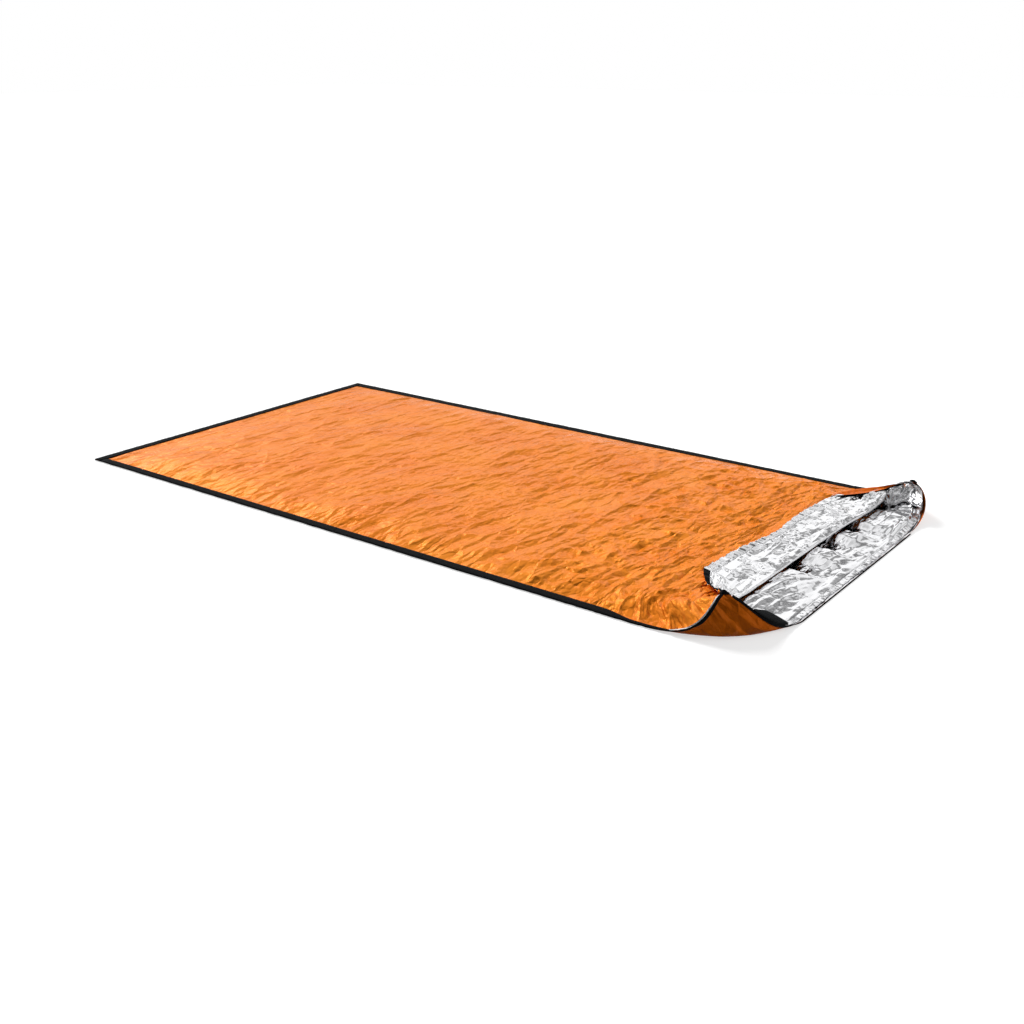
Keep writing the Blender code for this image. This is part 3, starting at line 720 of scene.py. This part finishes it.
# The far edge of the bag, turned in over the top sheet: its lower rim and its ridge
FAR_EDGE_RIM = [(0.814, 0.372, 0.0260), (0.835, 0.379, 0.0300), (0.863, 0.397, 0.0340),
                (0.891, 0.414, 0.0390), (0.915, 0.434, 0.0440), (0.936, 0.460, 0.0510),
                (0.951, 0.476, 0.0580), (0.964, 0.482, 0.0650)]
FAR_EDGE_RIDGE = [(0.812, 0.376, 0.0255), (0.820, 0.402, 0.0290), (0.835, 0.425, 0.0335),
                  (0.857, 0.443, 0.0385), (0.890, 0.456, 0.0450), (0.921, 0.463, 0.0530),
                  (0.948, 0.476, 0.0610), (0.964, 0.480, 0.0670)]
FAR_EDGE_SIZE = (0.22, 0.07)


def far_edge(stations=90, turns=16):
    """The turned-in far edge, from the far seam up to its ridge and down to its rim.

    The value is the line of that rim.
    """
    tip = walls[-1, -1]
    rim = spline([*FAR_EDGE_RIM, tip + (-0.002, -0.003, 0.0)], stations)
    ridge = spline([*FAR_EDGE_RIDGE, tip], stations)
    t = np.linspace(0, 1, stations)
    places = mix(0.80, HEAD_X - 0.002, t)
    seam = read_off(places, bottom_along, walls[:, -1])
    seam = mix(ridge, seam, smooth(t / 0.25)[:, None])
    r = np.linspace(0, 2, turns)[None, :, None]
    up, down = np.clip(r, 0, 1), np.clip(r - 1, 0, 1)
    points = mix(mix(seam[:, None], ridge[:, None], up), rim[:, None], down)
    bulge = 0.0035 * np.sin(np.pi * down) + 0.0045 * np.sin(np.pi * up)
    points = points + normals_of(points) * bulge * smooth(t / 0.15)[:, None, None]
    lines = (t * FAR_EDGE_SIZE[0], np.linspace(0, FAR_EDGE_SIZE[1], turns))
    rough = creases(*lines, (0, FAR_EDGE_SIZE[0]), (0, FAR_EDGE_SIZE[1]),
                    (75, 60, (0.03, 0.10), (0.004, 0.009), (0.0004, 0.0012), 5, 14))
    points = points + normals_of(points) * rough[:, :, None]
    flat = grid(*lines)
    film("far_turned_lining", points + normals_of(points) * 0.0012, flat, SILVER)
    # The turned-in edge's outside takes the darker copy of the orange film, which paints shade on
    # it
    film("far_turned_edge", points, flat, SHADED_UNDERSIDE, flip=True)
    return rim


far_rim = far_edge()


# Binding tapes

def folded_tape(strip, up, places, over_heights=TAPE_OVER, shares=(1.0, 1.0)):
    """Tape folded round a seam, with a small waver along the fold.

    strip is a grid of points of the sheet, edge column first, and shares narrow the leg over the
    sheet and the leg under it.
    """
    out = unit(strip[:, 0] - strip[:, 1])
    waver = 0.0010 * (jagged(places / 0.016, 41) + 0.6 * jagged(places / 0.006, 42))
    edge = strip[:, 0] + out * (0.0010 + waver)[:, None]
    legs = []
    for heights, share in zip((over_heights, TAPE_UNDER), shares):
        base = strip[:, :1] + (strip - strip[:, :1]) * np.reshape(share, (-1, 1, 1))
        for height in heights:
            leg = base + up * np.reshape(height, (-1, 1, 1))
            leg[:, 0] = edge + up[:, 0] * np.reshape(height, (-1, 1))
            legs.append(leg)
    tip = edge + up[:, 0] * np.reshape((over_heights[0] + TAPE_UNDER[1]) / 2, (-1, 1))
    fold_out, fold_in = (tip + out * 0.0011)[:, None], (tip + out * 0.0003)[:, None]
    outer = np.concatenate([legs[1][:, ::-1], fold_out, legs[2]], axis=1)
    inner = np.concatenate([legs[0][:, ::-1], fold_in, legs[3]], axis=1)
    return outer, inner, grid(places, np.linspace(-1, 1, outer.shape[1]) * TAPE_WIDTH)


def side_tape(name, side, rows):
    """Tape along a long side, narrower on the rolled corners.

    Towards the near corner its upper leg slips under the film.
    """
    step = slice(0, 5) if side < 0 else slice(-1, -6, -1)
    places = bottom_along[rows]
    slip = smooth(places, 0.855, 0.03) if side < 0 else places * 0
    heights = [mix(h, 0.0006 + k * 0.0004, slip) for k, h in enumerate(TAPE_OVER)]
    if side < 0:
        over = 0.92 - 0.58 * smooth(places, 0.69, 0.09)
        over -= 0.15 * smooth(places, 0.85, 0.03)
        under = 1 - 0.95 * smooth(places, 0.70, 0.05)
        under += 0.12 * smooth(places, 0.925, 0.03)
    else:
        over = 1.15 - 0.30 * smooth(places / 0.5) - 0.50 * smooth(places, 0.80, 0.03)
        under = 1 - 0.70 * smooth(places, 0.84, 0.06)
    outer, inner, flat = folded_tape(walls[rows, step], bottom_up[rows, step], places, heights,
                                     (over, under))
    if side < 0:
        outer, inner, flat = outer[::-1], inner[::-1], flat[::-1]
    slab(name, outer, inner, flat, BLACK)


# Each side's tape is in two pieces, as in the solids, so that the second follows the curl
join = row_at(bottom_along, 0.783)
side_tape("near_side_tape", -1, slice(1, join + 1))
side_tape("far_side_tape", 1, slice(1, join + 1))
side_tape("near_corner_tape", -1, slice(join, None))
side_tape("far_corner_tape", 1, slice(join, None))

# The end of the far tape lies along the rim of the turned-in edge
rim_way = np.array([0.0006, -0.0022, -0.0046])
rim_front = np.stack([far_rim + (0, 0, 0.0010), far_rim + rim_way], 1)
rim_back = rim_front + np.array([-0.0004, 0.0009, 0.0])
rim_flat = grid(np.linspace(0, FAR_EDGE_SIZE[0], len(far_rim)), (0.0, 0.005))
slab("far_rim_tape", rim_front[:, ::-1], rim_back[:, ::-1], rim_flat, BLACK)

foot_across = spaced(-SIDE_Y - 0.001, (SIDE_Y + 0.001, 0.006))
foot_lines = FOOT_X + np.array([0, 0.0065, 0.013, 0.0195, TAPE_WIDTH])
foot_strip = np.stack(np.broadcast_arrays(foot_lines, foot_across[:, None], TAPE_LIFT), -1)
foot_up = np.zeros_like(foot_strip)
foot_up[:, :, 2] = 1.0
slab("foot_tape", *folded_tape(foot_strip, foot_up, foot_across), BLACK)


def near_lip(start=0.868):
    """The lining's lip, which shows as a pale line beyond the near corner's seam."""
    rows = slice(row_at(bottom_along, start), None)
    places = bottom_along[rows]
    edge, inner, up = walls[rows, 0], walls[rows, 1], bottom_up[rows, 0]
    inward = unit(inner - edge)
    reach = 0.0006 + 0.0008 * smooth(places, start, 0.03)
    lines = [edge - inward * 0.0048, edge + inward * reach[:, None]]
    upper, lower = [np.stack([p + up * h for p in lines], 1)[::-1] for h in (0.0027, 0.0019)]
    slab("near_seam_lip", upper, lower, grid(places, (0.0, 0.003))[::-1], SILVER)


near_lip()


def head_leg(first=-0.530, last=0.30, count=8):
    """The leg of the head edge's tape under the bottom sheet, which narrows at both ends."""
    pick = (bottom_across > first) & (bottom_across < last)
    places = bottom_across[pick]
    strip, up = [sheet[:, pick][-1:-count - 1:-1].transpose(1, 0, 2)
                 for sheet in (walls, bottom_up)]
    width = mix(0.003, TAPE_WIDTH, smooth(places, -0.36, 0.06) * smooth(places, last, -0.10))
    full = np.linalg.norm(strip[:, -1] - strip[:, 0], axis=1)
    share = np.linspace(0, 1, count)[None] * np.clip(width / full, 0.02, 1)[:, None] * (count - 1)
    k = np.clip(share.astype(int), 0, count - 2)
    f = (share - k)[:, :, None]
    row = np.arange(len(places))[:, None]
    points, normals = [mix(rows[row, k], rows[row, k + 1], f) for rows in (strip, up)]
    lower, upper = [points + normals * height for height in (-0.0009, -0.0002)]
    for side in (lower, upper):
        side[:, 0] += unit(strip[:, 0] - strip[:, 1]) * 0.0036
    flat = grid(places, np.linspace(0, TAPE_WIDTH, count))
    slab("head_edge_tape", lower, upper, flat, BLACK)


head_leg()


def rim_patch():
    """The end of the head edge's tape, turned in over the near corner's rim onto the floor."""
    inside = spline([(0.992, -0.406, 0.034), (0.996, -0.387, 0.029), (1.002, -0.376, 0.022),
                     (1.015, -0.364, 0.012), (1.031, -0.363, 0.006), (1.043, -0.366, 0.004)], 40)
    places = np.linspace(-0.474, -0.382, 40)
    rim = read_off(places, bottom_across, walls[-1])
    r = np.linspace(0, 1, 6)[None, :, None]
    points = mix(rim[:, None], inside[:, None], r)
    points[:, :, 2] += 0.0030 + 0.0020 * np.sin(np.pi * r[:, :, 0])
    thin = np.array([0.0, 0.0, 0.0008])
    flat = grid(places, np.linspace(0, 0.02, 6))
    slab("head_tape_end", points[::-1] + thin, points[::-1], flat[::-1], BLACK)


rim_patch()


# Head hem, and the knots of tape on the corners

hem_pick = (bottom_across > -0.40) & (bottom_across < 0.522)
hem_places = bottom_across[hem_pick]
hem_edge, hem_inner = [raised[k, hem_pick] + bottom_up[k, hem_pick] * BOTTOM_LINING
                       for k in (-1, -7)]
hem_up = unit(bottom_up[-1, hem_pick] + bottom_up[-7, hem_pick])


def tube(name, line, ways, turn, reach, flat, finish):
    """A tube of rings round a line. reach gives their half width and half height, in two ways."""
    (side, above), (wide, high) = ways, reach
    rings = line[:, None] + side[:, None] * (np.cos(turn) * wide)[:, :, None]
    rings = rings + above[:, None] * (np.sin(turn) * high)[:, :, None]
    film(name, rings, flat, finish, flip=True)


def hem_tube(width=0.0145, height=0.0022, seed=51):
    """The head hem: a flattened tube of gathered film just inside the edge."""
    places = hem_places
    lift_off = 0.0018 + 0.0012 * smooth(places, 0.28, 0.06)[:, None]
    centre = (hem_edge + hem_inner) / 2 + hem_up * lift_off
    around = np.linspace(0, 2 * math.pi, 17)
    gather = 1 + 0.50 * jagged(places / 0.0050, seed) + 0.40 * jagged(places / 0.012, seed + 1)
    ends = smooth(places, places[0], 0.02) * smooth(places, places[-1], -0.004)
    gather = gather * mix(0.25, 1.0, ends)
    spread = width * (1 + 0.16 * jagged(places / 0.009, seed + 2))
    tube("head_hem", centre, (unit(hem_edge - hem_inner), hem_up), around,
         (spread[:, None] / 2, (gather * height / 2)[:, None]),
         grid(places, around * width / math.pi), SILVER)


hem_tube()


def knot(name, path, radius, seed, stations=24, sides=14):
    """A crumpled end of tape along a path of points."""
    path = np.array(path, float)
    reach = np.concatenate([[0], np.cumsum(np.linalg.norm(np.diff(path, axis=0), axis=1))])
    t = np.linspace(0, reach[-1], stations)
    line = read_off(t, reach, path)
    ahead = unit(np.gradient(line, axis=0))
    side = unit(np.cross(ahead, np.array([0.0, 0.0, 1.0])))
    above = np.cross(side, ahead)
    place, turn = np.meshgrid(t, np.linspace(0, 2 * math.pi, sides + 1), indexing="ij")
    r = radius * (1 + 0.35 * swell(place / 0.006, turn * 1.3, seed)
                  + 0.25 * swell(place / 0.014, turn * 0.9, seed + 1))
    r[:, -1] = r[:, 0]
    r *= (np.sin(np.pi * np.clip(t / reach[-1], 0.03, 0.97)) ** 0.3)[:, None]
    tube(name, line, (side, above), turn, (r, r), np.stack([place, turn * radius], -1), BLACK)


knot("near_tape_end", bottom[-1, 0] + [
    (-0.012, 0.006, -0.004), (0.0, 0.0, 0.003), (0.012, 0.006, -0.004)], 0.0055, 63)
knot("far_tape_end", bottom[-1, -1] + [
    (-0.010, 0.0, 0.0), (0.0, 0.0, 0.002), (0.010, -0.002, -0.002)], 0.0022, 64)


# Stitches

STITCH_SIZES = {"Pitch": 0.0042, "Stitch length": 0.0030, "Thread radius": 0.00030}


def stitch_tree(thread):
    """A tree that lays one stitch at each point of a line, along the line."""
    tree = bpy.data.node_groups.new("stitches", "GeometryNodeTree")
    sockets = [(name, "NodeSocketFloat", "INPUT") for name in STITCH_SIZES]
    for name, kind, way in (("Line", "NodeSocketGeometry", "INPUT"), *sockets,
                            ("Stitches", "NodeSocketGeometry", "OUTPUT")):
        tree.interface.new_socket(name=name, in_out=way, socket_type=kind)
    given = add(tree, "NodeGroupInput").outputs
    line = add(tree, "GeometryNodeMeshToCurve", {"Mesh": given["Line"]}).outputs["Curve"]
    points = add(tree, "GeometryNodeCurveToPoints", {"Curve": line, "Length": given["Pitch"]},
                 mode="LENGTH").outputs
    rod = add(tree, "GeometryNodeMeshCylinder", {
        "Vertices": 5, "Side Segments": 3, "Radius": given["Thread radius"],
        "Depth": given["Stitch length"]}).outputs["Mesh"]
    way = add(tree, "FunctionNodeAlignEulerToVector", {"Vector": points["Tangent"]}, axis="Z")
    placed = add(tree, "GeometryNodeInstanceOnPoints", {
        "Points": points["Points"], "Instance": rod, "Rotation": way.outputs["Rotation"]})
    real = add(tree, "GeometryNodeRealizeInstances", {"Geometry": placed.outputs["Instances"]})
    made = add(tree, "GeometryNodeSetMaterial", {"Geometry": real.outputs["Geometry"],
               "Material": thread})
    add(tree, "NodeGroupOutput", {"Stitches": made.outputs["Geometry"]})
    return tree


STITCHES = stitch_tree(THREAD)


def stitched(name, paths):
    """Rows of stitches along paths of points, as one mesh."""
    mesh = bpy.data.meshes.new(name + "_path")
    points, edges = [], []
    for path in paths:
        start = len(points)
        points += [tuple(p) for p in path]
        edges += [(k, k + 1) for k in range(start, len(points) - 1)]
    mesh.from_pydata(points, edges, [])
    source = in_scene(name + "_path", mesh)
    live = source.modifiers.new("stitches", "NODES")
    live.node_group = STITCHES
    for item in STITCHES.interface.items_tree:
        if item.name in STITCH_SIZES:
            live[item.identifier] = STITCH_SIZES[item.name]
    done = source.evaluated_get(bpy.context.evaluated_depsgraph_get())
    piece = in_scene(name, bpy.data.meshes.new_from_object(done))
    bpy.data.objects.remove(source)
    piece.data.shade_smooth()


# How far the rows on the tapes lie from the folded edge
STITCH_REACH = 0.020


def seam_row(edge, inner, end):
    """A row of stitches on a side tape, between two columns of the sheet, up to a place."""
    rows = slice(2, row_at(bottom_along, end))
    points, up = [mix(sheet[rows, edge], sheet[rows, inner], STITCH_REACH / TAPE_WIDTH)
                  for sheet in (walls, bottom_up)]
    return points + up * TAPE_OVER[1]


foot_row = [(FOOT_X + STITCH_REACH, y, TAPE_LIFT + TAPE_OVER[1]) for y in (-0.528, 0.528)]
stitched("tape_stitches", [seam_row(0, 4, 0.705), seam_row(-1, -5, 0.80), foot_row])
i, j = np.searchsorted(turned_s, (NEAR_CUT + 0.01, FAR_CUT - 0.01))
groove_column = row_at(turned_d, HEM_START)
stitched("flap_hem_stitches",
         [turned[i:j, groove_column] + turned_up[i:j, groove_column] * 0.0002])
stitched("head_hem_stitches", [(hem_inner + hem_up * 0.0012)[4:-4]])


# Slots, the solids that each piece stands for, and the soft sheets' flat sizes

BOTTOM_SIZE, TOP_SIZE, FLAP_SIZE = (WIDTH, LENGTH), (WIDTH, TOP_LENGTH), (0.14, 0.76)
STRIP_SIZE = (0.08, 0.22)
# The flap's pieces keep their places baked into their meshes, and the other pieces hang from the
# bag
for name, slot, nodes, *cut in (
        ("bottom_film", "orange_film", ["bottom_outer_film"], BOTTOM_SIZE, "laid"),
        ("bottom_lining_film", "silver_film", ["bottom_lining"], BOTTOM_SIZE, "laid"),
        ("top_film", "orange_film", ["top_outer_film"], TOP_SIZE, "laid"),
        ("top_lining_film", "silver_film", ["top_lining"], TOP_SIZE, "laid"),
        ("far_turned_edge", "orange_film", ["bottom_outer_film"], STRIP_SIZE, "folded"),
        ("far_turned_lining", "silver_film", ["bottom_lining"], STRIP_SIZE, "folded"),
        ("near_hem_film", "silver_film", ["near_gathered_hem"], (0.08, 0.08), "gathered"),
        ("far_hem_film", "silver_film", ["far_gathered_hem"], (0.10, 0.08), "gathered"),
        ("far_hem_bundle", "silver_film", ["far_gathered_hem"], (0.06, 0.13), "gathered"),
        ("flap_lining_film", "silver_film", ["flap_lining", "flap_hem_casing", "flap_hem_elastic"],
         FLAP_SIZE, "folded"),
        ("flap_orange_film", "orange_film", ["flap_outer_film"], FLAP_SIZE, "folded"),
        ("flap_tape_end", "black_tape", ["flap_near_tape_end"]),
        ("flap_hem_stitches", "silver_film", []),
        ("near_side_tape", "black_tape", ["near_side_binding"]),
        ("far_side_tape", "black_tape", ["far_side_binding"]),
        ("near_corner_tape", "black_tape", ["near_corner_binding"]),
        ("far_corner_tape", "black_tape", ["far_corner_binding"]),
        ("foot_tape", "black_tape", ["foot_binding"]),
        ("head_edge_tape", "black_tape", ["head_edge_binding"]),
        ("head_tape_end", "black_tape", ["head_edge_binding"]),
        ("far_rim_tape", "black_tape", ["far_corner_binding"]),
        ("near_seam_lip", "silver_film", ["near_corner_binding"]),
        ("head_hem", "silver_film", ["head_hem_casing", "head_hem_elastic"]),
        ("near_hem_tape", "black_tape", ["near_gathered_hem"]),
        ("near_tape_end", "black_tape", ["near_corner_tape_end"]),
        ("far_tape_end", "black_tape", ["far_corner_tape_end"]),
        ("tape_stitches", "black_tape", []),
        ("head_hem_stitches", "black_tape", [])):
    piece = bpy.data.objects[name]
    if name.startswith("flap_"):
        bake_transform(piece)
    else:
        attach(piece, "bag")
    if nodes:
        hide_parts(*nodes)


# Floor, light and camera

FLOOR_REACH = 30
FLOOR_Z = -0.0012
floor_mesh = bpy.data.meshes.new("floor")
floor_mesh.from_pydata([(x * FLOOR_REACH, y * FLOOR_REACH, FLOOR_Z)
                        for x, y in ((-1, -1), (1, -1), (1, 1), (-1, 1))], [], [(0, 1, 2, 3)])
in_scene("floor", floor_mesh)
floor_paper, tree, shader = blank_material("floor_paper")
tree.nodes.remove(shader)
rays = add(tree, "ShaderNodeLightPath").outputs
seen = maths(tree, "MAXIMUM", rays["Is Camera Ray"], rays["Is Glossy Ray"])
seen = maths(tree, "MAXIMUM", seen, rays["Is Transmission Ray"])
pale = add(tree, "ShaderNodeBsdfDiffuse", {"Color": colour("#C8C8C8")})
# Its glow grows away from the bag, so that the far floor is white and the bag keeps a shadow
place = add(tree, "ShaderNodeTexCoord").outputs["Object"]
away = add(tree, "ShaderNodeVectorMath", {0: place}, operation="LENGTH").outputs["Value"]
glow = add(tree, "ShaderNodeEmission", {
    "Color": (1, 1, 1, 1), "Strength": ranged(tree, away, 1.2, 2.2, 0.60, 0.95)})
white = add(tree, "ShaderNodeAddShader", {0: pale.outputs["BSDF"], 1: glow.outputs["Emission"]})
dim = add(tree, "ShaderNodeBsdfDiffuse", {"Color": colour("#7A7A7A")})
surface = add(tree, "ShaderNodeMixShader", {
    "Fac": seen, 1: dim.outputs["BSDF"], 2: white.outputs["Shader"]})
fill(tree, tree.nodes["Material Output"], {"Surface": surface.outputs["Shader"]})
floor_mesh.materials.append(floor_paper)

world = bpy.data.worlds.new("studio")
bpy.context.scene.world = world
world.use_nodes = True
tree = world.node_tree
rays = add(tree, "ShaderNodeLightPath").outputs
way = add(tree, "ShaderNodeTexCoord").outputs["Generated"]
axes = add(tree, "ShaderNodeSeparateXYZ", {"Vector": way}).outputs
# What shiny film mirrors: bands of white and grey by height, dimmer behind the camera and
# towards the mouth. Matt surfaces get the same dimming behind the camera.
bands = add(tree, "ShaderNodeValToRGB", {"Fac": axes["Z"]})
steps = bands.color_ramp.elements
steps[0].position, steps[1].position = 0.0, 1.0
for place in (0.05, 0.11, 0.17, 0.45, 0.50, 0.53, 0.58, 0.66, 0.82):
    steps.new(place)
for step, grey in zip(steps, (1.05, 1.05, 0.15, 1.12, 1.12, 0.20, 0.55, 0.08, 1.0, 0.90, 0.15)):
    step.color = (grey, grey, grey, 1.0)
behind = ranged(tree, axes["Y"], -0.6, 0.2, 0.26, 1.0)
beside = ranged(tree, axes["X"], -0.40, 0.20, 1.0, 0.72)
mirrored = maths(tree, "MULTIPLY", maths(tree, "MULTIPLY", behind, beside), bands.outputs["Color"])
# The window itself, where the lamp stands, gives the glints
facing = add(tree, "ShaderNodeVectorMath", {0: way, 1: (-0.80, 0.40, 0.44)},
             operation="DOT_PRODUCT").outputs["Value"]
mirrored = maths(tree, "ADD", mirrored, ranged(tree, facing, 0.965, 0.990, 0.0, 2.2))
matt = maths(tree, "MULTIPLY_ADD", behind, 0.58, -0.13)
seen = maths(tree, "MAXIMUM", rays["Is Glossy Ray"], rays["Is Transmission Ray"])
plain = add(tree, "ShaderNodeMix", {"Factor": rays["Is Camera Ray"], "A": matt, "B": 1.0})
strength = add(tree, "ShaderNodeMix", {
    "Factor": seen, "A": plain.outputs["Result"], "B": mirrored})
fill(tree, tree.nodes["Background"], {
    "Color": (1, 1, 1, 1), "Strength": strength.outputs["Result"]})


def lamp(name, kind, place, target, power, size):
    """A sun of an angular size in radians, or an area lamp of a size in metres."""
    data = bpy.data.lights.new(name, kind)
    data.energy = power
    if kind == "SUN":
        data.angle = size
    else:
        data.size = size
    obj = in_scene(name, data)
    obj.location = place
    way = np.array(target, float) - np.array(place, float)
    flat = math.hypot(way[0], way[1])
    obj.rotation_euler = (math.atan2(flat, -way[2]), 0, math.atan2(way[1], way[0]) - math.pi / 2)
    # Its mirror image would wash out the flat film
    obj.visible_glossy = False


lamp("window_light", "SUN", (-4.0, 2.0, 2.2), (0.0, 0.0, 0.0), 5.3, 0.45)
lamp("fill_light", "AREA", (3.0, 1.4, 1.6), (0.9, 0.3, 0.0), 22, 1.6)

# The camera that the bag's straight edges in the photo give, with its focal length in pixels
FOCAL_PIXELS, PHOTO_PIXELS, SENSOR_WIDTH = 1243.69, 1024, 36.0
CAMERA_PLACE, CAMERA_PITCH, CAMERA_YAW = (1.9891, -2.5749, 1.1193), 20.38, 36.98
camera_data = bpy.data.cameras.new("camera")
camera_data.sensor_width = SENSOR_WIDTH
camera_data.lens = SENSOR_WIDTH * FOCAL_PIXELS / PHOTO_PIXELS
camera = in_scene("camera", camera_data)
camera.location = CAMERA_PLACE
camera.rotation_euler = (math.radians(90 - CAMERA_PITCH), 0.0, math.radians(CAMERA_YAW))
bpy.context.scene.camera = camera
bpy.context.scene.view_settings.view_transform = "Standard"
